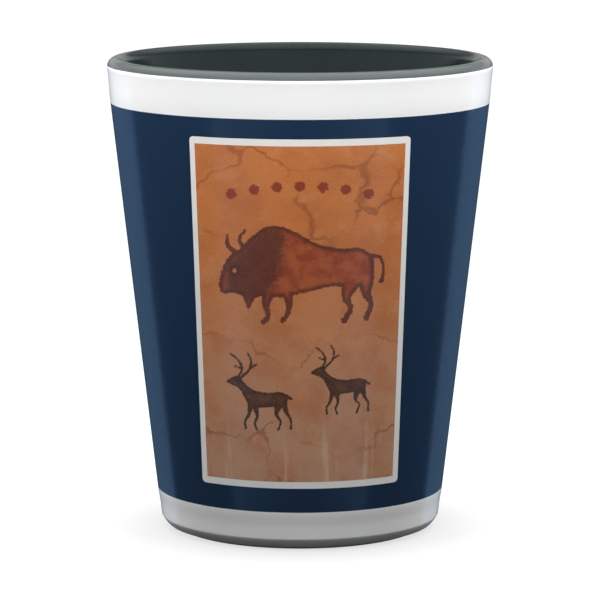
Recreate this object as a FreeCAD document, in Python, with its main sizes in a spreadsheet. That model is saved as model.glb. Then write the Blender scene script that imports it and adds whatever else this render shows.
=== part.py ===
"""A glazed ceramic shot glass with a printed wrap: a tapered clay cup, dark lining glaze that rolls
over its lip, white glaze outside, and a clear coat that carries the printed areas.

The origin is the middle of the foot's resting plane and +Z is the cup's axis. The framed picture
faces -Y and the gap between the wrap's two ends faces +Y. Thicknesses of the wall and of every
layer are measured square to the axis, along a radius.
"""

import FreeCAD, Part
import math
import os

import Sketcher

# Each driving dimension, in millimetres, and what it is.
DIMENSIONS = [
    ("height", 60.0, "foot to rim, with the lining glaze on the lip"),
    ("mouth_radius", 24.6, "outside face carried up to the rim's plane"),
    ("foot_radius", 17.65, "outside face carried down to the resting plane"),
    ("lip_clay", 1.75, "clay wall just under the lip's rounding"),
    ("well_radius", 14.3, "clay well where the wall meets its floor"),
    ("floor_level", 6.7, "clay well's floor above the resting plane"),
    ("cove_radius", 4.0, "rounding between the well's wall and floor"),
    ("foot_rounding", 1.85, "clay corner between the wall and the foot"),
    ("foot_ring", 2.4, "width of the ring that the cup rests on"),
    ("foot_recess", 1.3, "depth of the hollow inside the foot ring"),
    ("recess_rounding", 0.8, "rounding in the corner of that hollow"),
    ("bare_foot", 0.5, "height of bare clay round the foot, wiped before firing"),
    ("glaze", 0.3, "white glaze on the outside and in the foot's hollow"),
    ("lining", 0.3, "dark glaze inside"),
    ("lining_drop", 0.9, "how far the dark glaze runs down outside the lip"),
    ("coat", 0.1, "clear coat and the prints in it"),
    ("coat_rise", 3.0, "clear coat's lower edge above the resting plane"),
    ("coat_drop", 1.8, "clear coat's upper edge below the rim"),
    ("foot_band", 5.1, "white left between the resting plane and the printed ground"),
    ("rim_band", 5.6, "white left between the printed ground and the rim"),
    ("seam_gap", 3.1, "bare strip between the wrap's two ends"),
    ("ground_below", 3.1, "printed ground between its lower edge and the pale line"),
    ("ground_above", 2.4, "printed ground between the pale line and its upper edge"),
    ("border_foot_width", 24.2, "the line's outline at its lower edge, seen straight on"),
    ("border_top_width", 26.9, "the line's outline at its upper edge, seen straight on"),
    ("border_corner", 0.5, "rounding of the outline's corners"),
    ("line_width", 0.85, "pale line's width along the top and the bottom"),
    ("side_line_width", 0.62, "pale line's width at the sides, seen straight on"),
]

LIP_SHARE = 0.485  # each rounding's share of the lip's clay: two of them make it all but fully round
SPARE = 2.0  # how far a cutting outline stands clear of what it cuts

doc = FreeCAD.newDocument("shot_glass")
sizes = doc.addObject("Spreadsheet::Sheet", "sizes")
for row, (alias, size, meaning) in enumerate(DIMENSIONS, start=1):
    sizes.set(f"A{row}", meaning)
    sizes.set(f"B{row}", str(size))
    sizes.setAlias(f"B{row}", alias)
doc.recompute()


# ---- formulas that the pieces share, as spreadsheet expressions ----


def outside(level, depth="0"):
    """Radius at a level, a depth under the outermost face of the tapered wall."""
    slope = "(sizes.mouth_radius - sizes.foot_radius) / sizes.height"
    return f"(sizes.foot_radius + {slope} * ({level}) - ({depth}))"


CLAY_DEPTH = "sizes.coat + sizes.glaze"
CLAY_TOP = "(sizes.height - sizes.lining)"
WELL_MOUTH = outside(CLAY_TOP, f"{CLAY_DEPTH} + sizes.lip_clay")
LIP_ROUNDING = f"(sizes.lip_clay * {LIP_SHARE})"
LIP_MIDDLE = outside(CLAY_TOP, f"{CLAY_DEPTH} + sizes.lip_clay / 2")
LINING_EDGE = "(sizes.height - sizes.lining_drop)"
RECESS_RADIUS = f"({outside('0', CLAY_DEPTH)} - sizes.foot_rounding - sizes.foot_ring)"
COAT_HIGH = "(sizes.height - sizes.coat_drop)"
WRAP_HIGH = "(sizes.height - sizes.rim_band)"
BORDER_LOW = "(sizes.foot_band + sizes.ground_below)"
BORDER_HIGH = f"({WRAP_HIGH} - sizes.ground_above)"


def well(level, depth="0"):
    """Radius of the well's wall at a level, a depth in from the clay's own face."""
    slope = f"({WELL_MOUTH} - sizes.well_radius) / ({CLAY_TOP} - sizes.floor_level)"
    return f"(sizes.well_radius + {slope} * (({level}) - sizes.floor_level) - ({depth}))"


def side(level, inset="0"):
    """Half of the pale line's outline at a level, seen straight on, less an inset."""
    slope = f"(sizes.border_top_width - sizes.border_foot_width) / ({BORDER_HIGH} - {BORDER_LOW})"
    return f"((sizes.border_foot_width + {slope} * (({level}) - {BORDER_LOW})) / 2 - ({inset}))"


# ---- sketches and the features that use them ----


def number(expression):
    """The expression's value now, in millimetres."""
    return float(sizes.evalExpression(expression))


def sketch_on(body, name, plane="XZ_Plane"):
    """A new sketch on one of the body's own origin planes."""
    sketch = body.newObject("Sketcher::SketchObject", name)
    origin_plane = next(item for item in body.Origin.OriginFeatures if item.Role == plane)
    sketch.AttachmentSupport = [(origin_plane, "")]
    sketch.MapMode = "FlatFace"
    return sketch


def bind(sketch, kind, geometry, point, expression, name):
    """A named dimension on a point or an edge, bound to the sheet."""
    where = (geometry, point) if point else (geometry,)
    index = sketch.addConstraint(Sketcher.Constraint(kind, *where, number(expression)))
    sketch.renameConstraint(index, name)
    sketch.setExpression(f"Constraints.{name}", expression)


def place(sketch, geometry, point, corner, name):
    """Fixes a point at the corner's two expressions. A coordinate of "0" is on the sketch's axis."""
    for kind, axis, expression in (("DistanceX", -2, corner[0]), ("DistanceY", -1, corner[1])):
        if expression == "0":
            sketch.addConstraint(Sketcher.Constraint("PointOnObject", geometry, point, axis))
        else:
            bind(sketch, kind, geometry, point, expression, f"{name}_{kind[-1].lower()}")


def outline(sketch, name, corners):
    """A closed loop of straight edges. A corner is (across, up) or (across, up, rounding), each an
    expression; a rounded one gets a tangent arc, and a construction point where its edges meet."""
    points = [FreeCAD.Vector(number(corner[0]), number(corner[1]), 0) for corner in corners]
    count = len(corners)
    leaving, arriving, arcs = [], [], {}
    for index, corner in enumerate(corners):
        here = points[index]
        back = (points[index - 1] - here).normalize()
        ahead = (points[(index + 1) % count] - here).normalize()
        reach = 0.0
        if len(corner) == 3:
            half_angle = back.getAngle(ahead) / 2
            radius = number(corner[2])
            reach = radius / math.tan(half_angle)
            inward = (back + ahead).normalize()
            middle = here + inward * (radius / math.sin(half_angle) - radius)
            arcs[index] = Part.Arc(here + back * reach, middle, here + ahead * reach)
        arriving.append(here + back * reach)
        leaving.append(here + ahead * reach)
    edges = [
        sketch.addGeometry(Part.LineSegment(leaving[index], arriving[(index + 1) % count]), False)
        for index in range(count)
    ]
    for index, corner in enumerate(corners):
        before, after = edges[index - 1], edges[index]
        label = f"{name}_{index}"
        if index not in arcs:
            sketch.addConstraint(Sketcher.Constraint("Coincident", before, 2, after, 1))
            place(sketch, after, 1, corner, label)
            continue
        arc = sketch.addGeometry(arcs[index], False)
        apex = sketch.addGeometry(Part.Point(points[index]), True)
        starts_here = sketch.getPoint(arc, 1).distanceToPoint(arriving[index]) < 1e-6
        first, last = (1, 2) if starts_here else (2, 1)
        sketch.addConstraint(Sketcher.Constraint("Tangent", before, 2, arc, first))
        sketch.addConstraint(Sketcher.Constraint("Tangent", arc, last, after, 1))
        sketch.addConstraint(Sketcher.Constraint("PointOnObject", apex, 1, before))
        sketch.addConstraint(Sketcher.Constraint("PointOnObject", apex, 1, after))
        place(sketch, apex, 1, corner, label)
        bind(sketch, "Radius", arc, 0, corner[2], f"{label}_rounding")


def box_corners(left, right, low, high):
    """The four corners of an upright rectangle."""
    return [(left, low), (right, low), (right, high), (left, high)]


def turned(body, name, corners, kind="PartDesign::Revolution"):
    """Revolves a profile in the XZ plane about the cup's axis, to add or (Groove) to take away."""
    sketch = sketch_on(body, f"{name}_profile")
    outline(sketch, name, corners)
    feature = body.newObject(kind, name)
    feature.Profile = sketch
    feature.ReferenceAxis = (sketch, ["V_Axis"])
    feature.Angle = 360.0
    return feature


def cut_through(body, name, loops, direction):
    """Cuts the loops through the body from the XZ plane: to the front, to the back, or both ways."""
    sketch = sketch_on(body, f"{name}_outline")
    for index, corners in enumerate(loops):
        outline(sketch, f"{name}{index}", corners)
    feature = body.newObject("PartDesign::Pocket", name)
    feature.Profile = sketch
    feature.Type = "ThroughAll"
    feature.SideType = "Symmetric" if direction == "both" else "One side"
    feature.Reversed = direction == "front"
    return feature


def new_piece(name):
    """An empty body with its own label and a placement at the cup's origin."""
    body = doc.addObject("PartDesign::Body", name)
    body.Label = name
    body.Placement = FreeCAD.Placement()
    return body


# ---- the clay cup: fired stoneware, bare only at its foot ring ----

ceramic_body = new_piece("ceramic_body")
turned(
    ceramic_body,
    "clay",
    [
        (outside("0", CLAY_DEPTH), "0", "sizes.foot_rounding"),
        (outside(CLAY_TOP, CLAY_DEPTH), CLAY_TOP, LIP_ROUNDING),
        (WELL_MOUTH, CLAY_TOP, LIP_ROUNDING),
        ("sizes.well_radius", "sizes.floor_level", "sizes.cove_radius"),
        ("0", "sizes.floor_level"),
        ("0", "sizes.foot_recess"),
        (RECESS_RADIUS, "sizes.foot_recess", "sizes.recess_rounding"),
        (RECESS_RADIUS, "0"),
    ],
)

# ---- the dark lining glaze: floor, wall and lip, ending just outside the rim ----

LINING_FLOOR = "(sizes.floor_level + sizes.lining)"
interior_glaze = new_piece("interior_glaze")
turned(
    interior_glaze,
    "dark_glaze",
    [
        (outside(f"{LINING_EDGE} - {SPARE}", CLAY_DEPTH), f"({LINING_EDGE} - {SPARE})"),
        (outside(CLAY_TOP, CLAY_DEPTH), CLAY_TOP, LIP_ROUNDING),
        (WELL_MOUTH, CLAY_TOP, LIP_ROUNDING),
        ("sizes.well_radius", "sizes.floor_level", "sizes.cove_radius"),
        ("0", "sizes.floor_level"),
        ("0", LINING_FLOOR),
        (well(LINING_FLOOR, "sizes.lining"), LINING_FLOOR, "(sizes.cove_radius - sizes.lining)"),
        (well("sizes.height", "sizes.lining"), "sizes.height", f"({LIP_ROUNDING} + sizes.lining)"),
        (outside("sizes.height", "sizes.coat"), "sizes.height", f"({LIP_ROUNDING} + sizes.glaze)"),
        (outside(f"{LINING_EDGE} - {SPARE}", "sizes.coat"), f"({LINING_EDGE} - {SPARE})"),
    ],
)
BEYOND = f"(sizes.mouth_radius + {SPARE})"
turned(
    interior_glaze,
    "lining_edge",
    box_corners(LIP_MIDDLE, BEYOND, f"({LINING_EDGE} - 2 * {SPARE})", LINING_EDGE),
    "PartDesign::Groove",
)

# ---- the white glaze: the whole outside, from the bare foot up to the lining's edge ----

exterior_glaze = new_piece("exterior_glaze")
FOOT_MIDDLE = f"({RECESS_RADIUS} + sizes.foot_ring / 2)"
turned(
    exterior_glaze,
    "white_glaze",
    [
        (FOOT_MIDDLE, "(-sizes.glaze)"),
        (outside("-sizes.glaze", "sizes.coat"), "(-sizes.glaze)", "(sizes.foot_rounding + sizes.glaze)"),
        (outside("sizes.height", "sizes.coat"), "sizes.height", f"({LIP_ROUNDING} + sizes.glaze)"),
        (LIP_MIDDLE, "sizes.height"),
        (LIP_MIDDLE, CLAY_TOP),
        (outside(CLAY_TOP, CLAY_DEPTH), CLAY_TOP, LIP_ROUNDING),
        (outside("0", CLAY_DEPTH), "0", "sizes.foot_rounding"),
        (FOOT_MIDDLE, "0"),
    ],
)
turned(
    exterior_glaze,
    "upper_edge",
    box_corners(f"({LIP_MIDDLE} - {SPARE})", BEYOND, LINING_EDGE, f"(sizes.height + {SPARE})"),
    "PartDesign::Groove",
)
turned(
    exterior_glaze,
    "wiped_foot",
    box_corners(f"({FOOT_MIDDLE} - {SPARE})", BEYOND, f"(-{SPARE})", "sizes.bare_foot"),
    "PartDesign::Groove",
)

# ---- the white glaze in the hollow of the foot, parted from the rest by the wiped ring ----

base_glaze = new_piece("base_glaze")
RECESS_FACE = "(sizes.foot_recess - sizes.glaze)"
turned(
    base_glaze,
    "recess_glaze",
    [
        ("0", RECESS_FACE),
        (f"({RECESS_RADIUS} - sizes.glaze)", RECESS_FACE, "(sizes.recess_rounding - sizes.glaze)"),
        (f"({RECESS_RADIUS} - sizes.glaze)", "(sizes.bare_foot / 2)"),
        (RECESS_RADIUS, "(sizes.bare_foot / 2)"),
        (RECESS_RADIUS, "sizes.foot_recess", "sizes.recess_rounding"),
        ("0", "sizes.foot_recess"),
    ],
)

# ---- the coat's layer: a clear remainder, and the areas that the dye has coloured ----


def coat_band(body, name, low, high):
    """A full ring of the coat between two levels."""
    corners = [
        (outside(low, "sizes.coat"), low),
        (outside(low), low),
        (outside(high), high),
        (outside(high, "sizes.coat"), high),
    ]
    return turned(body, name, corners)


def leave_only(body, name, corners, face):
    """Cuts away all of the body but what lies behind the corners' outline on one face."""
    frame = box_corners(f"(-{BEYOND})", BEYOND, f"(-{SPARE})", f"(sizes.height + {SPARE})")
    cut_through(body, f"{name}_surround", [frame, corners], "both")
    cut_through(body, f"{name}_other_side", [frame], "back" if face == "front" else "front")


def tapered(low, high, inset="0", rounding=None):
    """The picture's outline or the pale line's: upright, a little wider at the top."""
    ends = [(f"(-{side(low, inset)})", low), (side(low, inset), low)]
    ends += [(side(high, inset), high), (f"(-{side(high, inset)})", high)]
    return [end + (rounding,) for end in ends] if rounding else ends


BORDER = tapered(BORDER_LOW, BORDER_HIGH, rounding="sizes.border_corner")
PICTURE_LOW = f"({BORDER_LOW} + sizes.line_width)"
PICTURE_HIGH = f"({BORDER_HIGH} - sizes.line_width)"
PICTURE = tapered(PICTURE_LOW, PICTURE_HIGH, "sizes.side_line_width")
SEAM = box_corners(
    "(-sizes.seam_gap / 2)",
    "(sizes.seam_gap / 2)",
    f"(sizes.foot_band - {SPARE})",
    f"({WRAP_HIGH} + {SPARE})",
)

clear_coat = new_piece("clear_coat")
coat_band(clear_coat, "seam_strip", "sizes.foot_band", WRAP_HIGH)
leave_only(clear_coat, "seam", SEAM, "back")
coat_band(clear_coat, "lower_ring", "sizes.coat_rise", "sizes.foot_band")
coat_band(clear_coat, "upper_ring", WRAP_HIGH, COAT_HIGH)

wrap_print = new_piece("wrap_print")
coat_band(wrap_print, "ground", "sizes.foot_band", WRAP_HIGH)
cut_through(wrap_print, "seam_cut", [SEAM], "back")
cut_through(wrap_print, "window", [BORDER], "front")

picture_border = new_piece("picture_border")
coat_band(picture_border, "border_band", BORDER_LOW, BORDER_HIGH)
leave_only(picture_border, "border", BORDER, "front")
cut_through(picture_border, "picture_window", [PICTURE], "front")

picture_print = new_piece("picture_print")
coat_band(picture_print, "picture_band", PICTURE_LOW, PICTURE_HIGH)
leave_only(picture_print, "picture", PICTURE, "front")

# ---- recompute, check and write ----

PIECES = [
    ceramic_body,
    interior_glaze,
    exterior_glaze,
    base_glaze,
    clear_coat,
    wrap_print,
    picture_border,
    picture_print,
]

doc.recompute()
for item in doc.Objects:
    if "Invalid" in item.State or "Error" in item.State:
        raise RuntimeError(f"{item.Label} did not recompute: {item.State}")
    if item.TypeId == "Sketcher::SketchObject" and not item.FullyConstrained:
        raise RuntimeError(f"{item.Label} is not fully constrained")

# A pocket or groove that points the wrong way cuts nothing, so each must take volume away.
for piece in PIECES:
    previous = None
    for feature in piece.Group:
        if feature.TypeId in ("PartDesign::Pocket", "PartDesign::Groove"):
            if feature.Shape.Volume >= previous.Shape.Volume - 1e-3:
                raise RuntimeError(f"{feature.Label} cuts nothing")
        if feature.TypeId != "Sketcher::SketchObject":
            previous = feature

os.makedirs("parts", exist_ok=True)
for piece in PIECES:
    shape = piece.Shape
    if shape.isNull() or not shape.isValid() or not shape.Solids:
        raise RuntimeError(f"{piece.Label} has no valid solid")
    shape.exportStep(f"parts/{piece.Label}.step")
    print(f"{piece.Label}: {len(shape.Solids)} solid, {shape.Volume / 1000:.3f} ml")
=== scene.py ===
import math

import bmesh
import bpy
import numpy as np
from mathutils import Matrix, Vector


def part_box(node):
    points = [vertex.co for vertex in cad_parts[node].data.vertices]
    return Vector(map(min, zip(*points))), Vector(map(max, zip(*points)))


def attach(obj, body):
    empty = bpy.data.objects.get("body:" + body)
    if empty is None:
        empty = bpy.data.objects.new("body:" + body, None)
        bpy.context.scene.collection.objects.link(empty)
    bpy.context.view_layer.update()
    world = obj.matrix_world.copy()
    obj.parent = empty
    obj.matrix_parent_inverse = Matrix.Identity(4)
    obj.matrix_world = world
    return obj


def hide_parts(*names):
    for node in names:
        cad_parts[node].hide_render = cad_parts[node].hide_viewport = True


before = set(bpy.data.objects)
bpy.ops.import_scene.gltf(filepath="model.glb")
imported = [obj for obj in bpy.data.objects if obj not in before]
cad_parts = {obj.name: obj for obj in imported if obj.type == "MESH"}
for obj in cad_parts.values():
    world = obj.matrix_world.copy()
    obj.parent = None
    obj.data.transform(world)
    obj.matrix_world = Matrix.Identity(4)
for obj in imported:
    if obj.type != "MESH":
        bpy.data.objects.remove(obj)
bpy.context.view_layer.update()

# ---- The clay cup ----
# Fired stoneware, cast in a plaster mould and turned at the foot. All of it is glazed over but the
# ring that it stands on, which is wiped clean so that the cup doesn't stick to the kiln shelf.

MM = 0.001
SECTORS = 320  # steps round the cup
COAT = 0.1 * MM
GLAZE = 0.3 * MM
LIP_CLAY = 1.75 * MM
LIP_ROUND = 0.485 * LIP_CLAY
FOOT_ROUND = 1.85 * MM
FOOT_FLAT = 0.5
COVE_ROUND = 4.0 * MM
RECESS_ROUND = 0.8 * MM
WELL_RADIUS = 14.3 * MM  # at its floor
ARC_STEPS = 14
CLAY_SHADE, CLAY_PALE = (0.62, 0.55, 0.45), (0.74, 0.69, 0.60)
CLAY_SPECK = (0.30, 0.22, 0.15)


def node_points(name):
    """Across, back and up of every vertex of a CAD node, as three arrays."""
    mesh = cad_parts[name].data
    flat = np.zeros(len(mesh.vertices) * 3, np.float32)
    mesh.vertices.foreach_get("co", flat)
    return flat.reshape(-1, 3).astype(float).T


ring_across, ring_back, ring_height = node_points("wrap_print")
ring_radius = np.hypot(ring_across, ring_back)
WRAP_LOW, WRAP_HIGH = ring_height.min(), ring_height.max()
low_radius = ring_radius[ring_height < WRAP_LOW + 1e-5].max()
high_radius = ring_radius[ring_height > WRAP_HIGH - 1e-5].max()
TAPER = (high_radius - low_radius) / (WRAP_HIGH - WRAP_LOW)
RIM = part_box("interior_glaze")[1].z
CLAY_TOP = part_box("ceramic_body")[1].z
WELL_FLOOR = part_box("interior_glaze")[0].z


def outside(height, depth=0.0):
    """Radius of the tapered wall at a height: the radius at the wrap's lower edge plus the taper
    times the rise above it, less a depth under the outermost face."""
    return low_radius + TAPER * (height - WRAP_LOW) - depth


def with_steps(points, step=3 * MM, close=0.1 * MM):
    """The same line with points added on its long straight runs: one close to each end, so that the
    shading stays flat between the arcs, and the rest evenly spaced."""
    out = [points[:1]]
    for start, end in zip(points[:-1], points[1:]):
        length = np.linalg.norm(end - start)
        if length > 5 * close:
            even = np.linspace(close, length - close, 1 + math.ceil(length / step))
            out.append(start + (end - start) * (even / length)[:, None])
        out.append(end[None])
    return np.concatenate(out)


def rounded(corners):
    """Points along a line of straight edges whose corners are replaced by tangent arcs. A corner is
    (radius from the axis, height, rounding). Each arc's centre is on the corner's bisector, at the
    rounding over the sine of half the corner's angle. A fourth number draws the arc part of the way
    towards its chord, as where a turning tool takes the corner off."""
    points = []
    count = len(corners)
    for index, (across, up, rounding, *flat) in enumerate(corners):
        here = np.array([across, up])
        if rounding == 0:
            points.append(here[None])
            continue
        back = np.array(corners[index - 1][:2]) - here
        ahead = np.array(corners[(index + 1) % count][:2]) - here
        back, ahead = back / np.linalg.norm(back), ahead / np.linalg.norm(ahead)
        half = math.acos(np.clip(back @ ahead, -1, 1)) / 2
        bisector = (back + ahead) / np.linalg.norm(back + ahead)
        centre = here + bisector * rounding / math.sin(half)
        start = here + back * rounding / math.tan(half) - centre
        end = here + ahead * rounding / math.tan(half) - centre
        sweep = np.linspace(0, math.pi - 2 * half, ARC_STEPS)[:, None]
        side = end - start * (start @ end) / (start @ start)
        side = side / np.linalg.norm(side) * rounding
        arc = centre + start * np.cos(sweep) + side * np.sin(sweep)
        chord = arc[0] + (arc[-1] - arc[0]) * np.linspace(0, 1, len(arc))[:, None]
        points.append(arc + (chord - arc) * (flat[0] if flat else 0.0))
    return with_steps(np.concatenate(points))


def finish_mesh(mesh, crease=35):
    """Merges doubled points, turns every face outwards and shades smooth between sharp edges."""
    work = bmesh.new()
    work.from_mesh(mesh)
    bmesh.ops.remove_doubles(work, verts=work.verts, dist=1e-7)
    bmesh.ops.delete(work, geom=[e for e in work.edges if not e.link_faces], context="EDGES")
    bmesh.ops.delete(work, geom=[v for v in work.verts if not v.link_faces], context="VERTS")
    bmesh.ops.recalc_face_normals(work, faces=work.faces)
    work.to_mesh(mesh)
    work.free()
    mesh.polygons.foreach_set("use_smooth", np.ones(len(mesh.polygons), bool))
    mesh.set_sharp_from_angle(angle=math.radians(crease))
    mesh.update()


def add_piece(mesh, node_name, material):
    """Puts a finished mesh in the scene, in place of a CAD node."""
    piece = bpy.data.objects.new(mesh.name, mesh)
    bpy.context.scene.collection.objects.link(piece)
    mesh.materials.append(material)
    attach(piece, "root")
    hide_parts(node_name)
    return piece


def turned(name, profile):
    """A closed profile carried round the axis. The point at angle a is (r sin a, -r cos a, height),
    so a of zero faces the front."""
    angle = np.arange(SECTORS) * 2 * math.pi / SECTORS
    radius, height = profile[:, 0][:, None], profile[:, 1][:, None]
    points = np.stack(
        [radius * np.sin(angle), -radius * np.cos(angle), height + 0 * angle], axis=-1
    ).reshape(-1, 3)
    rows = len(profile)
    here = np.arange(rows)[:, None] * SECTORS + np.arange(SECTORS)
    beside = np.roll(here, -1, axis=1)
    faces = np.stack([here, beside, np.roll(beside, -1, axis=0), np.roll(here, -1, axis=0)], -1)
    mesh = bpy.data.meshes.new(name)
    mesh.from_pydata(points, [], faces.reshape(-1, 4).tolist())
    finish_mesh(mesh)
    return mesh


class Shader:
    """A Principled material whose sockets are filled from procedural nodes."""

    def __init__(self, name):
        self.material = bpy.data.materials.new(name)
        self.material.use_nodes = True
        self.tree = self.material.node_tree
        self.principled = self.tree.nodes["Principled BSDF"]
        self.place = self.add("ShaderNodeTexCoord").outputs["Object"]

    def add(self, kind, values=(), **settings):
        """A node with its settings, its first inputs filled by numbers, colours or other nodes."""
        node = self.tree.nodes.new(kind)
        for key, value in settings.items():
            setattr(node, key, value)
        for key, value in values.items() if isinstance(values, dict) else enumerate(values):
            if isinstance(value, bpy.types.NodeSocket):
                self.tree.links.new(value, node.inputs[key])
            elif value is not None:
                node.inputs[key].default_value = value
        return node

    def math(self, operation, *values):
        return self.add("ShaderNodeMath", values, operation=operation).outputs[0]

    def noise(self, scale, detail=2.0, roughness=0.5, stretch=(1, 1, 1), at=None):
        """Noise from 0 to 1 whose features are about 1/scale metres across."""
        at = self.place if at is None else at
        if stretch != (1, 1, 1):
            at = self.add("ShaderNodeMapping", {"Vector": at, "Scale": stretch}).outputs[0]
        values = {"Vector": at, "Scale": scale, "Detail": detail, "Roughness": roughness}
        return self.add("ShaderNodeTexNoise", values).outputs["Fac"]

    def spread(self, value, low, high, to_low=0.0, to_high=1.0):
        """A smooth step from to_low at low to to_high at high."""
        values = {"Value": value, "From Min": low, "From Max": high}
        values.update({"To Min": to_low, "To Max": to_high})
        node = self.add("ShaderNodeMapRange", values, interpolation_type="SMOOTHSTEP")
        return node.outputs["Result"]

    def mix(self, share, first, second):
        """The first colour where share is 0 and the second where it is 1."""
        node = self.add("ShaderNodeMix", data_type="RGBA")
        for key, value in ((0, share), (6, first), (7, second)):
            if isinstance(value, bpy.types.NodeSocket):
                self.tree.links.new(value, node.inputs[key])
            elif key == 0:
                node.inputs[key].default_value = value
            else:
                node.inputs[key].default_value = (*value, 1)
        return node.outputs[2]

    def finish(self, colour, roughness, relief=None, strength=0.3, distance=0.02 * MM, **constants):
        """Links colour, roughness and a bump from relief, and sets the shader's own constants."""
        links = self.tree.links
        links.new(colour, self.principled.inputs["Base Color"])
        links.new(roughness, self.principled.inputs["Roughness"])
        if relief is not None:
            values = {"Strength": strength, "Distance": distance, "Height": relief}
            bump = self.add("ShaderNodeBump", values)
            links.new(bump.outputs["Normal"], self.principled.inputs["Normal"])
        for key, value in constants.items():
            self.principled.inputs[key.replace("_", " ")].default_value = value
        return self.material


foot_reach = outside(0, COAT + GLAZE)
recess_radius, recess_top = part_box("base_glaze")[1].x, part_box("base_glaze")[1].z
well_mouth = outside(CLAY_TOP, COAT + GLAZE + LIP_CLAY)


def well(height, depth=0.0):
    """Radius of the clay well at a height, on a straight line from its floor to its mouth."""
    share = (height - WELL_FLOOR) / (CLAY_TOP - WELL_FLOOR)
    return WELL_RADIUS + (well_mouth - WELL_RADIUS) * share - depth


clay = Shader("bare_clay")
speck = clay.spread(clay.noise(2600, 3, 0.6), 0.66, 0.72)
cloud = clay.noise(260, 4, 0.6)
clay_colour = clay.mix(cloud, CLAY_SHADE, CLAY_PALE)
clay_colour = clay.mix(clay.math("MULTIPLY", speck, 0.7), clay_colour, CLAY_SPECK)
clay_grain = clay.noise(5200, 5, 0.7)
clay_rough = clay.spread(clay_grain, 0.2, 0.8, 0.75, 0.95)
clay.finish(clay_colour, clay_rough, clay_grain, strength=0.5)

body_mesh = turned(
    "clay_cup",
    rounded(
        [
            (foot_reach, 0.0, FOOT_ROUND, FOOT_FLAT),
            (outside(CLAY_TOP, COAT + GLAZE), CLAY_TOP, LIP_ROUND),
            (well_mouth, CLAY_TOP, LIP_ROUND),
            (WELL_RADIUS, WELL_FLOOR, COVE_ROUND),
            (0.0, WELL_FLOOR, 0),
            (0.0, recess_top, 0),
            (recess_radius, recess_top, RECESS_ROUND),
            (recess_radius, 0.0, 0),
        ]
    ),
)
add_piece(body_mesh, "ceramic_body", clay.material)

# ---- The dark lining glaze ----
# Poured in and swirled, then the lip is dipped: green-black glass over the floor, the wall and the
# rounded lip, ending in an even line just outside the rim. It is painted paler over the outer lip: partly
# the glaze running thin, partly a painted highlight for the light that the rounded lip catches.

LINING = RIM - CLAY_TOP
LINING_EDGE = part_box("exterior_glaze")[1].z
BELOW_EDGE = LINING_EDGE - 1 * MM
PALE_LIP_FROM, PALE_LIP_TO = 1.3 * MM, 0.5 * MM  # in from the lip's outermost point
LINING_DEEP, LINING_CLEAR = (0.0055, 0.0105, 0.0105), (0.010, 0.0185, 0.018)
LINING_FLECK = (0.045, 0.06, 0.055)
# The outer lip's paler colour: partly thin glaze, partly a painted highlight.
LINING_THIN_AND_HIGHLIGHT = (0.080, 0.094, 0.092)


def clipped(points, height):
    """A line without its first stretch, up to where it first crosses a height."""
    above = points[:, 1] > height
    index = int(np.argmax(above != above[0]))
    first, second = points[index - 1], points[index]
    share = (height - first[1]) / (second[1] - first[1])
    return np.concatenate([(first + (second - first) * share)[None], points[index:]])


lining_back = rounded(
    [
        (outside(BELOW_EDGE, COAT + GLAZE), BELOW_EDGE, 0),
        (outside(CLAY_TOP, COAT + GLAZE), CLAY_TOP, LIP_ROUND),
        (well_mouth, CLAY_TOP, LIP_ROUND),
        (WELL_RADIUS, WELL_FLOOR, COVE_ROUND),
        (0.0, WELL_FLOOR, 0),
    ]
)
lining_front = rounded(
    [
        (outside(BELOW_EDGE, COAT), BELOW_EDGE, 0),
        (outside(RIM, COAT), RIM, LIP_ROUND + GLAZE),
        (well(RIM, LINING), RIM, LIP_ROUND + LINING),
        (well(WELL_FLOOR + LINING, LINING), WELL_FLOOR + LINING, COVE_ROUND - LINING),
        (0.0, WELL_FLOOR + LINING, 0),
    ]
)
lining_loop = np.concatenate(
    [clipped(lining_back, LINING_EDGE), clipped(lining_front, LINING_EDGE)[::-1]]
)

dark = Shader("dark_glaze")
pool = dark.noise(130, 3, 0.6, stretch=(1, 1, 0.35))
dark_colour = dark.mix(pool, LINING_DEEP, LINING_CLEAR)
fleck = dark.spread(dark.noise(2900, 2, 0.5), 0.70, 0.76)
dark_colour = dark.mix(dark.math("MULTIPLY", fleck, 0.35), dark_colour, LINING_FLECK)
level = dark.add("ShaderNodeVectorMath", (dark.place, (1, 1, 0)), operation="MULTIPLY").outputs[0]
from_axis = dark.add("ShaderNodeVectorMath", (level,), operation="LENGTH").outputs["Value"]
from_axis = dark.math("ADD", from_axis, dark.math("MULTIPLY", dark.noise(300, 3, 0.6), 0.3 * MM))
lip_reach = outside(RIM, COAT)
# Painted highlight, partly thin glaze: the lining turns paler towards the lip's outermost point.
thin_and_highlight = dark.spread(from_axis, lip_reach - PALE_LIP_FROM, lip_reach - PALE_LIP_TO)
dark_colour = dark.mix(thin_and_highlight, dark_colour, LINING_THIN_AND_HIGHLIGHT)
slow_wave = dark.math("MULTIPLY", dark.noise(90, 2, 0.5), 2.0)
dark_wave = dark.math("ADD", dark.noise(420, 3, 0.5), slow_wave)
dark_rough = dark.spread(dark.noise(900, 4, 0.6), 0.25, 0.75, 0.07, 0.14)
dark.finish(dark_colour, dark_rough, dark_wave, strength=0.25, distance=0.05 * MM, IOR=1.5)
add_piece(turned("lining_glaze", lining_loop), "interior_glaze", dark.material)

# ---- The white glaze outside ----
# Opaque tin-white glass on the whole outer wall. It is wiped off round the foot before firing, so a
# thin line of clay shows there, and the dark glaze meets it under the lip.

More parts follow.
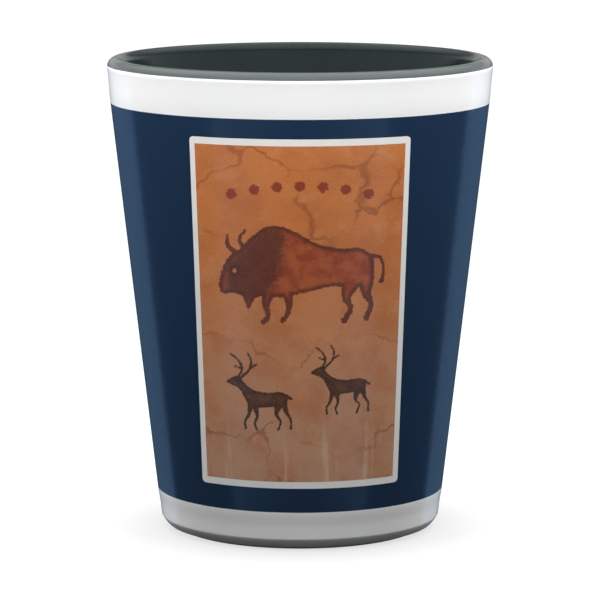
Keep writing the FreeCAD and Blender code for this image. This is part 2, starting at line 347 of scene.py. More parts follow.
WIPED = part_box("exterior_glaze")[0].z
foot_middle = foot_reach - FOOT_ROUND - 1.2 * MM
IRON_SPECK = (0.45, 0.38, 0.30)
lip_middle = outside(CLAY_TOP, COAT + GLAZE + LIP_CLAY / 2)
white_front = rounded(
    [
        (foot_middle, -GLAZE, 0),
        (outside(-GLAZE, COAT), -GLAZE, FOOT_ROUND + GLAZE, FOOT_FLAT),
        (outside(RIM, COAT), RIM, LIP_ROUND + GLAZE),
        (lip_middle, RIM, 0),
    ]
)
white_back = rounded(
    [
        (foot_middle, 0.0, 0),
        (outside(0.0, COAT + GLAZE), 0.0, FOOT_ROUND, FOOT_FLAT),
        (outside(CLAY_TOP, COAT + GLAZE), CLAY_TOP, LIP_ROUND),
        (lip_middle, CLAY_TOP, 0),
    ]
)


def kept_between(points, low, high):
    """The stretch of a rising line between two heights."""
    return clipped(clipped(points, low)[::-1], high)[::-1]


white_loop = np.concatenate(
    [kept_between(white_front, WIPED, LINING_EDGE), kept_between(white_back, WIPED, LINING_EDGE)[::-1]]
)


def white_gloss(name, tone):
    """White glass: a faint cloudiness, rare iron specks, and an orange-peel ripple."""
    shader = Shader(name)
    cloudy = shader.noise(170, 4, 0.6)
    colour = shader.mix(cloudy, tuple(0.97 * c for c in tone), tone)
    iron = shader.spread(shader.noise(1500, 1, 0.4), 0.775, 0.80)
    colour = shader.mix(shader.math("MULTIPLY", iron, 0.25), colour, IRON_SPECK)
    fine_ripple = shader.math("MULTIPLY", shader.noise(2200, 2), 0.12)
    ripple = shader.math("ADD", shader.noise(380, 2, 0.5), fine_ripple)
    rough = shader.spread(shader.noise(700, 3, 0.6), 0.2, 0.8, 0.06, 0.13)
    return shader.finish(colour, rough, ripple, strength=0.2, distance=0.03 * MM, IOR=1.5)


white_glaze = white_gloss("white_glaze", (0.86, 0.86, 0.855))
add_piece(turned("outside_glaze", white_loop), "exterior_glaze", white_glaze)

# ---- The white glaze under the foot ----
# The hollow inside the foot ring keeps its glaze: a shallow dish, parted from the outside glaze by
# the wiped ring.

recess_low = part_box("base_glaze")[0].z
recess_loop = rounded(
    [
        (0.0, recess_top - GLAZE, 0),
        (recess_radius - GLAZE, recess_top - GLAZE, RECESS_ROUND - GLAZE),
        (recess_radius - GLAZE, recess_low, 0),
        (recess_radius, recess_low, 0),
        (recess_radius, recess_top, RECESS_ROUND),
        (0.0, recess_top, 0),
    ]
)
add_piece(turned("foot_glaze", recess_loop), "base_glaze", white_glaze)

# ---- The clear coat where nothing is printed ----
# A sprayed resin coat takes the dyes of the print. Bare, it shows the white glaze under it: a band
# above the wrap, one below, and the strip at the back where the wrap's two ends stop short.

COAT_LOW, COAT_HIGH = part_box("clear_coat")[0].z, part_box("clear_coat")[1].z
SEAM_GAP = 3.1 * MM
FEATHER_LOW, FEATHER_HIGH = 2.0 * MM, 3.5 * MM
FEATHERED = 0.97  # of the coat's thickness is gone at its edges
LOW_ROWS, WRAP_ROWS, HIGH_ROWS = 15, 60, 21
STRIP_STEPS = 8
ROUND_STEPS = 316


def film(name, angle, height, around=False, kept=None):
    """A film on the tapered wall. Each grid point lies at its angle and height, at the wall's radius
    there outside and one coat's thickness less inside. At the coat's own two edges it feathers out on
    a smooth step, 3 s squared less 2 s cubed. The kept cells are skinned on both sides and walled
    along the edges where a cell's neighbour isn't kept."""
    rows, columns = angle.shape
    rise = np.minimum((height - COAT_LOW) / FEATHER_LOW, (COAT_HIGH - height) / FEATHER_HIGH)
    rise = np.clip(rise, 0.0, 1.0)
    sunk = COAT * (FEATHERED - FEATHERED * rise * rise * (3 - 2 * rise))
    layers = []
    for radius in (outside(height) - sunk, outside(height) - COAT):
        layers.append(np.stack([radius * np.sin(angle), -radius * np.cos(angle), height], -1))
    points = np.concatenate([layer.reshape(-1, 3) for layer in layers])
    number = np.arange(rows * columns).reshape(rows, columns)
    if around:
        number = np.concatenate([number, number[:, :1]], axis=1)
    corner = np.stack([number[:-1, :-1], number[:-1, 1:], number[1:, 1:], number[1:, :-1]], -1)
    kept = np.ones(corner.shape[:2], bool) if kept is None else kept
    padded = np.pad(kept, 1)
    if around:
        padded[:, 0], padded[:, -1] = padded[:, -2], padded[:, 1]
    under = rows * columns
    faces = [corner[kept], corner[kept][:, ::-1] + under]
    beside = (
        (padded[:-2, 1:-1], 0, 1),
        (padded[1:-1, 2:], 1, 2),
        (padded[2:, 1:-1], 2, 3),
        (padded[1:-1, :-2], 3, 0),
    )
    for neighbour, first, second in beside:
        open_side = kept & ~neighbour
        a, b = corner[open_side][:, first], corner[open_side][:, second]
        faces.append(np.stack([b, a, a + under, b + under], -1))
    mesh = bpy.data.meshes.new(name)
    mesh.from_pydata(points, [], np.concatenate(faces).tolist())
    return mesh


def seam_half(height):
    """Half of the bare strip's angle: its sine is half the gap over the wall's radius."""
    return np.arcsin(SEAM_GAP / 2 / outside(height))


def ramp(low, high, count):
    """Even steps from low to high as a column."""
    return np.linspace(low, high, count)[:, None]


coat_height = np.concatenate(
    [
        ramp(COAT_LOW, WRAP_LOW, LOW_ROWS)[:-1],
        ramp(WRAP_LOW, WRAP_HIGH, WRAP_ROWS),
        ramp(WRAP_HIGH, COAT_HIGH, HIGH_ROWS)[1:],
    ]
)
gap = seam_half(coat_height)
strip_share = np.arange(STRIP_STEPS)[None] / STRIP_STEPS
round_share = np.arange(ROUND_STEPS)[None] / ROUND_STEPS
coat_angle = np.concatenate(
    [math.pi - gap + 2 * gap * strip_share, math.pi + gap + 2 * (math.pi - gap) * round_share], axis=1
)
middle_height = (coat_height[:-1] + coat_height[1:]) / 2
in_wrap = (middle_height > WRAP_LOW) & (middle_height < WRAP_HIGH)
in_strip = np.arange(STRIP_STEPS + ROUND_STEPS)[None] < STRIP_STEPS
coat_mesh = film("bare_coat", coat_angle, coat_height + 0 * coat_angle, True, ~in_wrap | in_strip)
finish_mesh(coat_mesh)
add_piece(coat_mesh, "clear_coat", white_gloss("bare_coat", (0.87, 0.87, 0.865)))

# ---- The pale line round the picture ----
# Left out of the navy as a plain frame, slightly creamy, rounded outside and square inside.

BORDER_LOW, BORDER_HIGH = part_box("picture_border")[0].z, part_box("picture_border")[1].z
PICTURE_LOW, PICTURE_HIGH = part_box("picture_print")[0].z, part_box("picture_print")[1].z
BORDER_CORNER = 0.5 * MM
CORNER_STEPS = 8
SIDE_STEPS = 120
LINE_ROWS = 7
LINE_SHADE, LINE_PALE = (0.80, 0.785, 0.76), (0.86, 0.85, 0.83)
LINE_GRAIN = (0.62, 0.58, 0.53)


def half_width(node_name, height):
    """Half of a panel's width at a height, seen straight on: a straight line between its corners."""
    across, _, up = node_points(node_name)
    low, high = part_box(node_name)[0].z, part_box(node_name)[1].z
    near_low = across[up < low + BORDER_CORNER * 1.5].max()
    near_high = across[up > high - BORDER_CORNER * 1.5].max()
    return near_low + (near_high - near_low) * (height - low) / (high - low)


def loop_round(low, high, low_half, high_half, rounding, corner):
    """A rectangle's outline as across and up, anticlockwise from its lower left corner. Each corner
    takes a set number of steps, on an arc or, with no rounding, on the two edges beside it, so that
    every outline has its corners at the same steps."""
    ends = [(-low_half, low), (low_half, low), (high_half, high), (-high_half, high)]
    ends = [np.array(end) for end in ends]
    across, up = [], []
    turn = np.linspace(-1, 1, CORNER_STEPS + 1)[:, None]
    for index, here in enumerate(ends):
        back, ahead = ends[index - 1] - here, ends[(index + 1) % 4] - here
        length = np.linalg.norm(ahead)
        back, ahead = back / np.linalg.norm(back), ahead / length
        if rounding > 0:
            centre = here + (back + ahead) * rounding
            swing = (turn + 1) * math.pi / 4
            points = centre - ahead * rounding * np.cos(swing) - back * rounding * np.sin(swing)
        else:
            points = here + corner * (back * np.maximum(-turn, 0) + ahead * np.maximum(turn, 0))
        next_corner = ends[(index + 1) % 4] - ahead * corner
        first = here + ahead * corner
        along = np.linspace(0, 1, SIDE_STEPS + 1)[1:-1, None]
        points = np.concatenate([points, first + (next_corner - first) * along])
        across.append(points[:, 0])
        up.append(points[:, 1])
    return np.concatenate(across), np.concatenate(up)


def angle_of(across, height):
    """The angle round the wall of a point seen straight on: its sine is across over the radius."""
    return np.arcsin(across / outside(height))


line_half_low, line_half_high = (half_width("picture_border", z) for z in (BORDER_LOW, BORDER_HIGH))
picture_half_low, picture_half_high = (
    half_width("picture_print", z) for z in (PICTURE_LOW, PICTURE_HIGH)
)
outer_line = loop_round(
    BORDER_LOW, BORDER_HIGH, line_half_low, line_half_high, BORDER_CORNER, BORDER_CORNER
)
inner_line = loop_round(
    PICTURE_LOW, PICTURE_HIGH, picture_half_low, picture_half_high, 0, BORDER_CORNER
)
share = ramp(0, 1, LINE_ROWS)
line_across = inner_line[0] + (outer_line[0] - inner_line[0]) * share
line_up = inner_line[1] + (outer_line[1] - inner_line[1]) * share
line_mesh = film("picture_line", angle_of(line_across, line_up), line_up, True)
finish_mesh(line_mesh)

pale = Shader("border_line")
pale_colour = pale.mix(pale.noise(500, 3, 0.6), LINE_SHADE, LINE_PALE)
pale_grain = pale.noise(6000, 3, 0.7)
pale_colour = pale.mix(pale.spread(pale_grain, 0.6, 0.8, 0, 0.25), pale_colour, LINE_GRAIN)
pale_rough = pale.spread(pale_grain, 0.3, 0.7, 0.12, 0.2)
pale.finish(pale_colour, pale_rough, pale.noise(380, 2), strength=0.15, distance=0.03 * MM, IOR=1.5)
add_piece(line_mesh, "picture_border", pale.material)

# ---- The navy ground of the wrap ----
# One sheet of dye pressed into the coat from end to end of the wrap, with the picture's window in
# front. It is a deeper, cleaner navy on the back half of its right-hand end.

GROUND_ROWS = 91
NAVY_SHADE, NAVY_PALE = (0.0115, 0.0285, 0.064), (0.0135, 0.0325, 0.071)
DEEP_SHADE, DEEP_PALE = (0.0040, 0.0165, 0.046), (0.0050, 0.0190, 0.051)
DYE_GRAIN = (0.022, 0.042, 0.08)
TONE_FRONT, TONE_BACK = -3.0 * MM, 4.0 * MM  # where the navy starts to deepen, and is deep

ground_edge = loop_round(WRAP_LOW, WRAP_HIGH, 1.0, 1.0, 0, BORDER_CORNER)
wrap_end = math.pi - seam_half(ground_edge[1])
outer_angle = ground_edge[0] * wrap_end
window_angle = angle_of(*outer_line)
share = ramp(0, 1, GROUND_ROWS)
ground_angle = window_angle + (outer_angle - window_angle) * share
ground_up = outer_line[1] + (ground_edge[1] - outer_line[1]) * share
ground_mesh = film("navy_ground", ground_angle, ground_up, True)
finish_mesh(ground_mesh)

navy = Shader("ground_print")
mottle = navy.noise(240, 4, 0.6)
navy_colour = navy.mix(mottle, NAVY_SHADE, NAVY_PALE)
deep_colour = navy.mix(mottle, DEEP_SHADE, DEEP_PALE)
split = navy.add("ShaderNodeSeparateXYZ", (navy.place,)).outputs
behind = navy.spread(split["Y"], TONE_FRONT, TONE_BACK)
right_end = navy.math("MULTIPLY", behind, navy.math("GREATER_THAN", split["X"], 0.0))
navy_colour = navy.mix(right_end, navy_colour, deep_colour)
dye_grain = navy.noise(9000, 3, 0.7)
navy_colour = navy.mix(navy.spread(dye_grain, 0.55, 0.85, 0, 0.3), navy_colour, DYE_GRAIN)
navy_rough = navy.spread(navy.noise(800, 4, 0.6), 0.25, 0.75, 0.13, 0.21)
navy.finish(navy_colour, navy_rough, navy.noise(420, 2), strength=0.15, distance=0.03 * MM, IOR=1.5)
add_piece(ground_mesh, "wrap_print", navy.material)

# ---- The picture ----
# A plain rock-painting scene dyed into the coat, in the maker's own outlines: a shaggy bull over two
# deer, under a row of finger dots, on cracked ochre stone. Each drawing is kept as the distance from
# its edge, in millimetres on the flat picture, which the material turns into ragged paint.

PICTURE_COLUMNS = 166
PICTURE_ROWS = 270
BULL_PLACE = (2.0, 20.2, 1.08)  # across, up, enlarged by
DEER_PLACES = ((2.6, 6.6, 1.06), (13.2, 8.6, 0.96))
BULL_EYE = (2.1, 5.9)
EYE_RADIUS = 0.28
DOTS = 7
DOT_RADIUS = 0.62
DOTS_REACH, DOTS_UP, DOTS_SAG = 8.0, 37.2, 1.1
STONE_LOW, STONE_HIGH = (0.52, 0.295, 0.188), (0.58, 0.190, 0.056)
STONE_DEEP, STONE_PALE = (0.44, 0.135, 0.042), (0.62, 0.28, 0.125)
STONE_STREAK = (0.72, 0.50, 0.37)
GRAIN_DARK, GRAIN_PALE = (0.30, 0.11, 0.045), (0.72, 0.42, 0.24)
CRACK_BROWN = (0.26, 0.075, 0.028)
RED_EARTH = (0.25, 0.045, 0.026)
HIDE_DEEP, HIDE_PALE = (0.27, 0.052, 0.028), (0.38, 0.095, 0.038)
MANE_BROWN, OUTLINE_BROWN = (0.075, 0.026, 0.018), (0.065, 0.024, 0.018)
FUR_DEEP, FUR_PALE = (0.055, 0.026, 0.015), (0.12, 0.052, 0.026)
FUR_EDGE = (0.04, 0.02, 0.014)
flat_width = (picture_half_low + picture_half_high) / MM


def spline(points, closed=True, steps=14):
    """A smooth line through given points: a Catmull-Rom cubic between each pair."""
    knots = np.array(points, float)
    if closed:
        knots = np.concatenate([knots[-1:], knots, knots[:2]])
    else:
        knots = np.concatenate([2 * knots[:1] - knots[1:2], knots, 2 * knots[-1:] - knots[-2:-1]])
    a, b, c, d = knots[:-3, None], knots[1:-2, None], knots[2:-1, None], knots[3:, None]
    t = np.linspace(0, 1, steps, endpoint=False)[None, :, None]
    line = b + t / 2 * (c - a + t * (2 * a - 5 * b + 4 * c - d + t * (3 * (b - c) + d - a)))
    line = line.reshape(-1, knots.shape[1])
    return line if closed else np.concatenate([line, knots[-2:-1]])


def shape_distance(across, up, points):
    """Signed distance to a closed smooth outline: negative inside, found edge by edge."""
    line = spline(points)
    nearest = np.full(across.shape, 1e9)
    inside = np.zeros(across.shape, bool)
    for (x0, y0), (x1, y1) in zip(line, np.roll(line, -1, axis=0)):
        dx, dy = x1 - x0, y1 - y0
        share = np.clip(((across - x0) * dx + (up - y0) * dy) / (dx * dx + dy * dy), 0, 1)
        nearest = np.minimum(nearest, np.hypot(across - x0 - share * dx, up - y0 - share * dy))
        crosses = (y0 > up) != (y1 > up)
        rise = dy if dy else 1.0
        inside ^= crosses & (across < x0 + (up - y0) * dx / rise)
    return np.where(inside, -nearest, nearest)


def stroke_distance(across, up, points):
    """Distance to a brush stroke: a smooth line through (across, up, half width) points, less the
    half width there."""
    line = spline(points, closed=False, steps=10)
    nearest = np.full(across.shape, 1e9)
    for (x0, y0, w0), (x1, y1, w1) in zip(line[:-1], line[1:]):
        dx, dy = x1 - x0, y1 - y0
        share = np.clip(((across - x0) * dx + (up - y0) * dy) / (dx * dx + dy * dy), 0, 1)
        gap = np.hypot(across - x0 - share * dx, up - y0 - share * dy)
        nearest = np.minimum(nearest, gap - (w0 + (w1 - w0) * share))
    return nearest


picture_up = np.linspace(PICTURE_LOW, PICTURE_HIGH, PICTURE_ROWS)[:, None]
half = picture_half_low + (picture_half_high - picture_half_low) * (
    (picture_up - PICTURE_LOW) / (PICTURE_HIGH - PICTURE_LOW)
)
side_share = np.linspace(-1, 1, PICTURE_COLUMNS)[None]
picture_across = half * side_share
picture_height = picture_up + 0 * side_share
picture_mesh = film("picture", angle_of(picture_across, picture_height), picture_height)

x = (side_share + 1) / 2 * flat_width + 0 * picture_up
y = (picture_height - PICTURE_LOW) / MM

# The bull and the deer are each drawn facing left, with their hooves on the line where up is 0.
bull_body = [
    (0.3, 4.3), (0.8, 6.1), (1.7, 7.7), (2.8, 8.5), (4.2, 10.0), (6.2, 11.2), (8.6, 10.7),
    (11.2, 9.2), (13.8, 8.6), (16.2, 8.5), (17.5, 7.2), (17.4, 5.2), (15.8, 4.0), (13.0, 4.2),
    (10.2, 3.6), (7.4, 3.0), (5.4, 3.1), (4.4, 2.8), (3.6, 1.5), (2.9, 3.0), (1.9, 3.3), (0.7, 3.2),
]
bull_strokes = [
    [(6.0, 4.2, 0.9), (5.6, 2.2, 0.45), (5.8, 0.8, 0.28), (5.3, 0.1, 0.34)],
    [(7.8, 4.0, 0.8), (8.2, 2.2, 0.4), (7.9, 0.9, 0.26), (7.4, 0.3, 0.32)],
    [(15.2, 5.0, 1.2), (14.6, 2.9, 0.5), (15.1, 1.6, 0.3), (14.4, 0.2, 0.34)],
    [(16.7, 5.2, 1.0), (16.9, 3.2, 0.5), (17.4, 1.9, 0.3), (16.9, 0.4, 0.34)],
    [(17.3, 7.6, 0.25), (18.4, 7.2, 0.18), (18.7, 5.6, 0.15), (18.5, 4.6, 0.3)],
    [(2.3, 8.0, 0.3), (1.4, 8.9, 0.26), (1.5, 10.0, 0.13)],
    [(3.2, 8.5, 0.28), (2.8, 9.6, 0.22), (3.4, 10.6, 0.13)],
]
mane = [
    (0.5, 4.0), (1.1, 7.4), (3.0, 9.2), (5.8, 11.5), (8.2, 10.8), (8.0, 7.6), (7.2, 4.6), (5.4, 2.4),
    (2.4, 2.2),
]
deer_body = [
    (0.3, 5.6), (1.2, 6.2), (1.9, 6.3), (2.4, 5.6), (3.4, 4.8), (5.0, 4.5), (6.8, 4.6), (7.5, 4.1),
    (7.4, 3.3), (6.3, 2.9), (4.8, 2.7), (3.2, 2.7), (2.5, 3.6), (1.8, 4.8), (1.0, 5.2),
]
deer_strokes = [
    [(3.2, 3.2, 0.42), (2.9, 1.8, 0.2), (2.4, 0.9, 0.14), (2.5, 0.1, 0.15)],
    [(3.6, 3.0, 0.4), (3.9, 1.7, 0.2), (3.6, 0.8, 0.14), (3.8, 0.1, 0.15)],
    [(6.6, 3.5, 0.6), (6.2, 2.0, 0.24), (6.7, 1.1, 0.14), (6.4, 0.1, 0.15)],
    [(7.0, 3.6, 0.5), (7.4, 2.2, 0.24), (7.9, 1.3, 0.14), (7.9, 0.2, 0.15)],
    [(7.4, 4.2, 0.2), (8.0, 3.8, 0.14)],
    [(1.8, 6.2, 0.16), (2.2, 7.3, 0.14), (1.7, 8.3, 0.13), (0.9, 8.9, 0.12)],
    [(2.1, 6.2, 0.16), (3.0, 7.1, 0.14), (3.3, 8.2, 0.13), (2.9, 9.1, 0.12)],
    [(2.2, 7.2, 0.13), (1.4, 7.5, 0.12)],
    [(3.1, 7.3, 0.13), (3.9, 7.8, 0.12)],
]


def placed(points, across, up, size):
    """A drawing's points enlarged by size, strokes' half widths too, and moved to across and up."""
    line = np.array(points, float) * size
    line[:, 0] += across
    line[:, 1] += up
    return line


def animal(body, strokes, across, up, size):
    """Distance to an animal: the least of those to its outline and to its strokes."""
    parts = [shape_distance(x, y, placed(body, across, up, size))]
    parts += [stroke_distance(x, y, placed(stroke, across, up, size)) for stroke in strokes]
    return np.minimum.reduce(parts)


def spots(centres, radius):
    """Distance to round spots: the least of those to their centres, less the radius."""
    return np.min([np.hypot(x - across, y - up) for across, up in centres], axis=0) - radius


dot_share = np.linspace(-1, 1, DOTS)
dot_centres = zip(flat_width / 2 + DOTS_REACH * dot_share, DOTS_UP - DOTS_SAG * dot_share**2)
eye = spots(placed([BULL_EYE], *BULL_PLACE), EYE_RADIUS)
drawn = {
    "bull": np.maximum(animal(bull_body, bull_strokes, *BULL_PLACE), -eye),
    "mane": shape_distance(x, y, placed(mane, *BULL_PLACE)),
    "deer": np.minimum.reduce([animal(deer_body, deer_strokes, *place) for place in DEER_PLACES]),
    "dots": spots(dot_centres, DOT_RADIUS),
}
for name, distance in drawn.items():
    values = np.concatenate([distance.ravel(), distance.ravel()]).astype(np.float32)
    picture_mesh.attributes.new(name, "FLOAT", "POINT").data.foreach_set("value", values)
flat_place = np.stack([x.ravel(), y.ravel(), 0 * x.ravel()], -1)
flat_place = np.concatenate([flat_place, flat_place]).astype(np.float32)
picture_mesh.attributes.new("flat", "FLOAT_VECTOR", "POINT").data.foreach_set(
    "vector", flat_place.ravel()
)
finish_mesh(picture_mesh)

paint = Shader("picture_colours")
flat = paint.add("ShaderNodeAttribute", attribute_name="flat").outputs["Vector"]
flat_up = paint.add("ShaderNodeSeparateXYZ", (flat,)).outputs["Y"]


def paper(scale, detail=3.0, roughness=0.5, stretch=(1, 1, 1)):
    """Noise on the flat picture, with its scale in features a millimetre."""
    return paint.noise(scale, detail, roughness, stretch, at=flat)


def edge(name, ragged, low=-0.07, high=0.07):
    """How much of a drawing's paint lies here, and the distance from its edge, pushed about by
    noise."""
    distance = paint.add("ShaderNodeAttribute", attribute_name=name).outputs["Fac"]
    distance = paint.math("ADD", distance, ragged)
    return paint.spread(distance, low, high, 1.0, 0.0), distance


height_share = paint.spread(flat_up, 1.0, 34.0)
patches = paper(0.16, 4, 0.6)
stone = paint.mix(height_share, STONE_LOW, STONE_HIGH)
stone = paint.mix(paint.spread(patches, 0.40, 0.66, 0, 0.55), stone, STONE_DEEP)
pale_patch = paint.spread(paper(0.3, 3, 0.55), 0.52, 0.72, 0, 0.45)
stone = paint.mix(pale_patch, stone, STONE_PALE)
streak = paint.spread(paper(0.55, 3, 0.6, (1, 0.09, 1)), 0.52, 0.68)
low_part = paint.spread(flat_up, 11.0, 3.0, 0, 0.5)
stone = paint.mix(paint.math("MULTIPLY", streak, low_part), stone, STONE_STREAK)
grain = paper(7.0, 4, 0.7)
stone = paint.mix(paint.spread(grain, 0.48, 0.70, 0, 0.50), stone, GRAIN_DARK)
stone = paint.mix(paint.spread(grain, 0.46, 0.30, 0, 0.42), stone, GRAIN_PALE)

# Cracks are the borders between large cells, whose places are bent by a coloured noise.
drift = {"Vector": flat, "Scale": 0.35, "Detail": 4.0}
bend = paint.add("ShaderNodeTexNoise", drift).outputs["Color"]
bend = paint.add("ShaderNodeVectorMath", (bend, (5.0, 5.0, 0.0)), operation="MULTIPLY").outputs[0]
bent = paint.add("ShaderNodeVectorMath", (flat, bend), operation="ADD").outputs[0]
cells = {"Vector": bent, "Scale": 0.085}
cracked = paint.add("ShaderNodeTexVoronoi", cells, feature="DISTANCE_TO_EDGE").outputs["Distance"]
crack = paint.spread(cracked, 0.022, 0.004)
crack = paint.math("MULTIPLY", crack, paint.spread(paper(0.13, 2), 0.42, 0.58, 0.1, 0.6))
stone = paint.mix(crack, stone, CRACK_BROWN)

ragged = paint.math("SUBTRACT", paper(2.6, 4, 0.65), 0.5)
worn = paint.spread(grain, 0.30, 0.44, 0.55, 0.95)

dots, _ = edge("dots", paint.math("MULTIPLY", ragged, 0.9))
picture = paint.mix(paint.math("MULTIPLY", dots, worn), stone, RED_EARTH)

bull, bull_distance = edge("bull", paint.math("MULTIPLY", ragged, 0.7))
hide = paint.mix(paint.spread(paper(0.5, 3, 0.6), 0.38, 0.62), HIDE_DEEP, HIDE_PALE)
mane_cover, _ = edge("mane", paint.math("MULTIPLY", ragged, 3.0), -1.4, 0.3)
hide = paint.mix(paint.math("MULTIPLY", mane_cover, 0.85), hide, MANE_BROWN)
outline = paint.spread(bull_distance, -0.75, -0.25, 0, 0.75)
hide = paint.mix(outline, hide, OUTLINE_BROWN)
picture = paint.mix(paint.math("MULTIPLY", bull, worn), picture, hide)

deer, deer_distance = edge("deer", paint.math("MULTIPLY", ragged, 0.35))
fur = paint.mix(paint.spread(paper(0.9, 4, 0.6), 0.38, 0.64), FUR_DEEP, FUR_PALE)
fur = paint.mix(paint.spread(deer_distance, -0.5, -0.1, 0, 0.6), fur, FUR_EDGE)
picture = paint.mix(paint.math("MULTIPLY", deer, worn), picture, fur)

picture_rough = paint.spread(paper(2.0, 4, 0.6), 0.25, 0.75, 0.13, 0.22)
paint.finish(picture, picture_rough, paper(0.4, 2), strength=0.15, distance=0.03 * MM, IOR=1.5)
add_piece(picture_mesh, "picture_print", paint.material)

# ---- The studio ----
# A pale table that throws no light back, its glow dimmed round the cup's foot as a painted shadow, a dome
# bright overhead and dark below, tinted screens seen only in the gloss, a ring of small soft lights over
# the rim, and a larger one behind on each side.

FLOOR_SIZE = 6.0
# The table glows less near the cup: a painted shadow round the foot, fading out between these distances
# from the middle.
GLOW_IN_PAINTED_SHADOW, FLOOR_GLOW_FAR = 0.70, 1.0
SHADOW_FADE_FROM, SHADOW_FADE_TO = 14 * MM, 35 * MM  # from the middle
floor_mesh = bpy.data.meshes.new("floor")
floor_corners = np.array([(-1, -1, 0), (1, -1, 0), (1, 1, 0), (-1, 1, 0)]) * FLOOR_SIZE / 2
floor_mesh.from_pydata(floor_corners, [], [(0, 1, 2, 3)])
floor = bpy.data.objects.new("floor", floor_mesh)
bpy.context.scene.collection.objects.link(floor)
floor_paint = Shader("floor")
from_middle = floor_paint.add("ShaderNodeVectorMath", (floor_paint.place,), operation="LENGTH")
# Painted shadow: the glow rises from its dimmed value near the cup to full brightness further out.
glow_with_painted_shadow = floor_paint.spread(
    from_middle.outputs["Value"], SHADOW_FADE_FROM, SHADOW_FADE_TO, GLOW_IN_PAINTED_SHADOW, FLOOR_GLOW_FAR
)
floor_paint.tree.links.new(glow_with_painted_shadow, floor_paint.principled.inputs["Emission Strength"])
floor_shader = floor_paint.principled.inputs
floor_shader["Base Color"].default_value = (0.10, 0.10, 0.10, 1)
floor_shader["Roughness"].default_value = 0.9
floor_shader["Specular IOR Level"].default_value = 0.0
floor_shader["Emission Color"].default_value = (1, 1, 1, 1)
floor_mesh.materials.append(floor_paint.material)
floor.visible_diffuse = False
floor.visible_glossy = False

world = bpy.data.worlds.new("studio")
bpy.context.scene.world = world
world.use_nodes = True
sky = world.node_tree
sky_light = sky.nodes["Background"]


def sky_math(operation, *values):
    """A math node in the world, its inputs filled by numbers or other nodes."""
    node = sky.nodes.new("ShaderNodeMath")
    node.operation = operation
    for index, value in enumerate(values):
        if isinstance(value, bpy.types.NodeSocket):
            sky.links.new(value, node.inputs[index])
        else:
            node.inputs[index].default_value = value
    return node.outputs[0]


def sky_step(value, low, high, to_low=0.0, to_high=1.0):
    """A smooth step from to_low at low to to_high at high."""
    node = sky.nodes.new("ShaderNodeMapRange")
    node.interpolation_type = "SMOOTHSTEP"
    sky.links.new(value, node.inputs["Value"])
    for key, number in zip(("From Min", "From Max", "To Min", "To Max"), (low, high, to_low, to_high)):
        node.inputs[key].default_value = number
    return node.outputs["Result"]


towards = sky.nodes.new("ShaderNodeTexCoord").outputs["Generated"]
parts = sky.nodes.new("ShaderNodeSeparateXYZ")
sky.links.new(towards, parts.inputs[0])
sideways, forwards, upwards = parts.outputs
HORIZON, OVERHEAD, BELOW = 0.16, 0.95, 0.03
LOW_SKY = 0.30
BAND = 0.20
SCREEN_SIDE, SCREEN_MIDDLE = 0.195, 0.016
SCREEN_TINT = (0.80, 1.40, 2.30, 1)

# A direction's upwards part is the sine of its height over the horizon.
dome = sky_step(upwards, 0.30, 0.85, HORIZON, OVERHEAD)
low_sky = sky_math("MULTIPLY", sky_step(upwards, 0.30, 0.22, 0.0, LOW_SKY), sky_step(upwards, 0.03, 0.08))
dome = sky_math("ADD", dome, low_sky)
dome = sky_math("MULTIPLY", dome, sky_step(upwards, -0.02, 0.04))
band = sky_math("MULTIPLY", sky_step(upwards, 0.03, -0.01), sky_step(upwards, -0.12, -0.09, 0.0, BAND))
deep = sky_math("MULTIPLY", sky_step(upwards, 0.0, -0.05), BELOW)
sideness = sky_math("DIVIDE", sky_math("ABSOLUTE", sideways), sky_math("ABSOLUTE", forwards))
screen = sky_math("MULTIPLY_ADD", sideness, SCREEN_SIDE, SCREEN_MIDDLE)
screen = sky_math("MULTIPLY", screen, sky_step(sideness, 1.60, 1.35))
screen = sky_math("MULTIPLY", screen, sky_step(upwards, -0.09, -0.12))
screen = sky_math("MULTIPLY", screen, sky_step(upwards, -0.45, -0.40))
ray = sky.nodes.new("ShaderNodeLightPath").outputs
cards = sky_math("MULTIPLY", sky_math("MAXIMUM", band, screen), ray["Is Glossy Ray"])
brightness = sky_math("ADD", dome, sky_math("MAXIMUM", deep, cards))
sky.links.new(sky_math("MAXIMUM", brightness, ray["Is Camera Ray"]), sky_light.inputs["Strength"])
tint = sky.nodes.new("ShaderNodeMix")
tint.data_type = "RGBA"
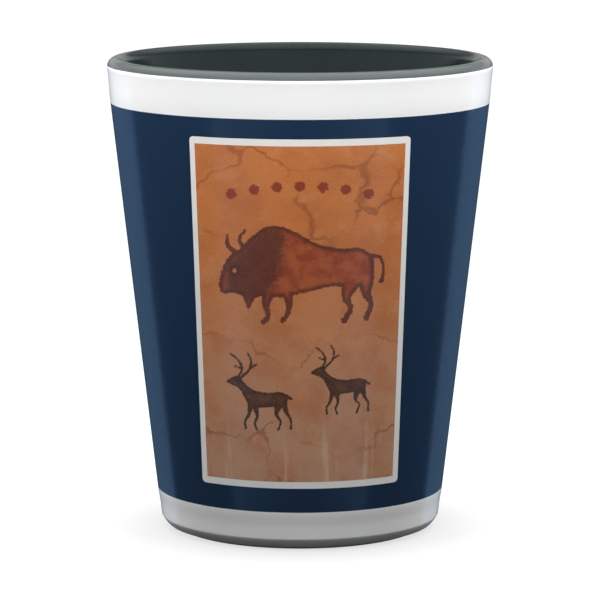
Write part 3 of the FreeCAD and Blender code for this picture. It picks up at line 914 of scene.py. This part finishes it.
sky.links.new(
    sky_math("MULTIPLY", sky_step(upwards, -0.02, -0.06), ray["Is Glossy Ray"]), tint.inputs[0]
)
tint.inputs[6].default_value = (1, 1, 1, 1)
tint.inputs[7].default_value = SCREEN_TINT
sky.links.new(tint.outputs[2], sky_light.inputs["Color"])

LAMPS = 8
LAMP_OUT, LAMP_UP, LAMP_SIZE, LAMP_POWER = 0.090, 0.120, 0.045, 0.056
SIDE_TURN = math.radians(135)
SIDE_OUT, SIDE_UP, SIDE_SIZE, SIDE_POWER = 0.80, 0.12, 0.40, 5.5


def soft_light(name, angle, out, up, size, power, aim):
    """A round light at an angle from the front, that far out and up, tilted to face the cup's axis at
    the height it is aimed at. It shows neither to the camera nor in the gloss."""
    lamp = bpy.data.lights.new(name, "AREA")
    lamp.shape = "DISK"
    lamp.size = size
    lamp.energy = power
    holder = bpy.data.objects.new(name, lamp)
    holder.location = (out * math.sin(angle), -out * math.cos(angle), up)
    holder.rotation_euler = (math.atan2(out, up - aim), 0, angle)
    holder.visible_camera = False
    holder.visible_glossy = False
    bpy.context.scene.collection.objects.link(holder)


for number in range(LAMPS):
    turn = number * 2 * math.pi / LAMPS
    soft_light(f"soft_light_{number}", turn, LAMP_OUT, LAMP_UP, LAMP_SIZE, LAMP_POWER, RIM)
for name, side in (("left_light", -1), ("right_light", 1)):
    soft_light(name, side * SIDE_TURN, SIDE_OUT, SIDE_UP, SIDE_SIZE, SIDE_POWER, RIM / 2)

CAMERA_DISTANCE, CAMERA_UP, CAMERA_DOWN = 0.460, 0.0985, math.radians(8.6)
SENSOR, LENS = 36.0, 219.0
camera_data = bpy.data.cameras.new("camera")
camera_data.sensor_width = SENSOR
camera_data.lens = LENS
camera_data.clip_start = 0.01
camera = bpy.data.objects.new("camera", camera_data)
camera.location = (0, -CAMERA_DISTANCE, CAMERA_UP)
camera.rotation_euler = (math.pi / 2 - CAMERA_DOWN, 0, 0)
bpy.context.scene.collection.objects.link(camera)
bpy.context.scene.camera = camera
bpy.context.scene.view_settings.view_transform = "Standard"
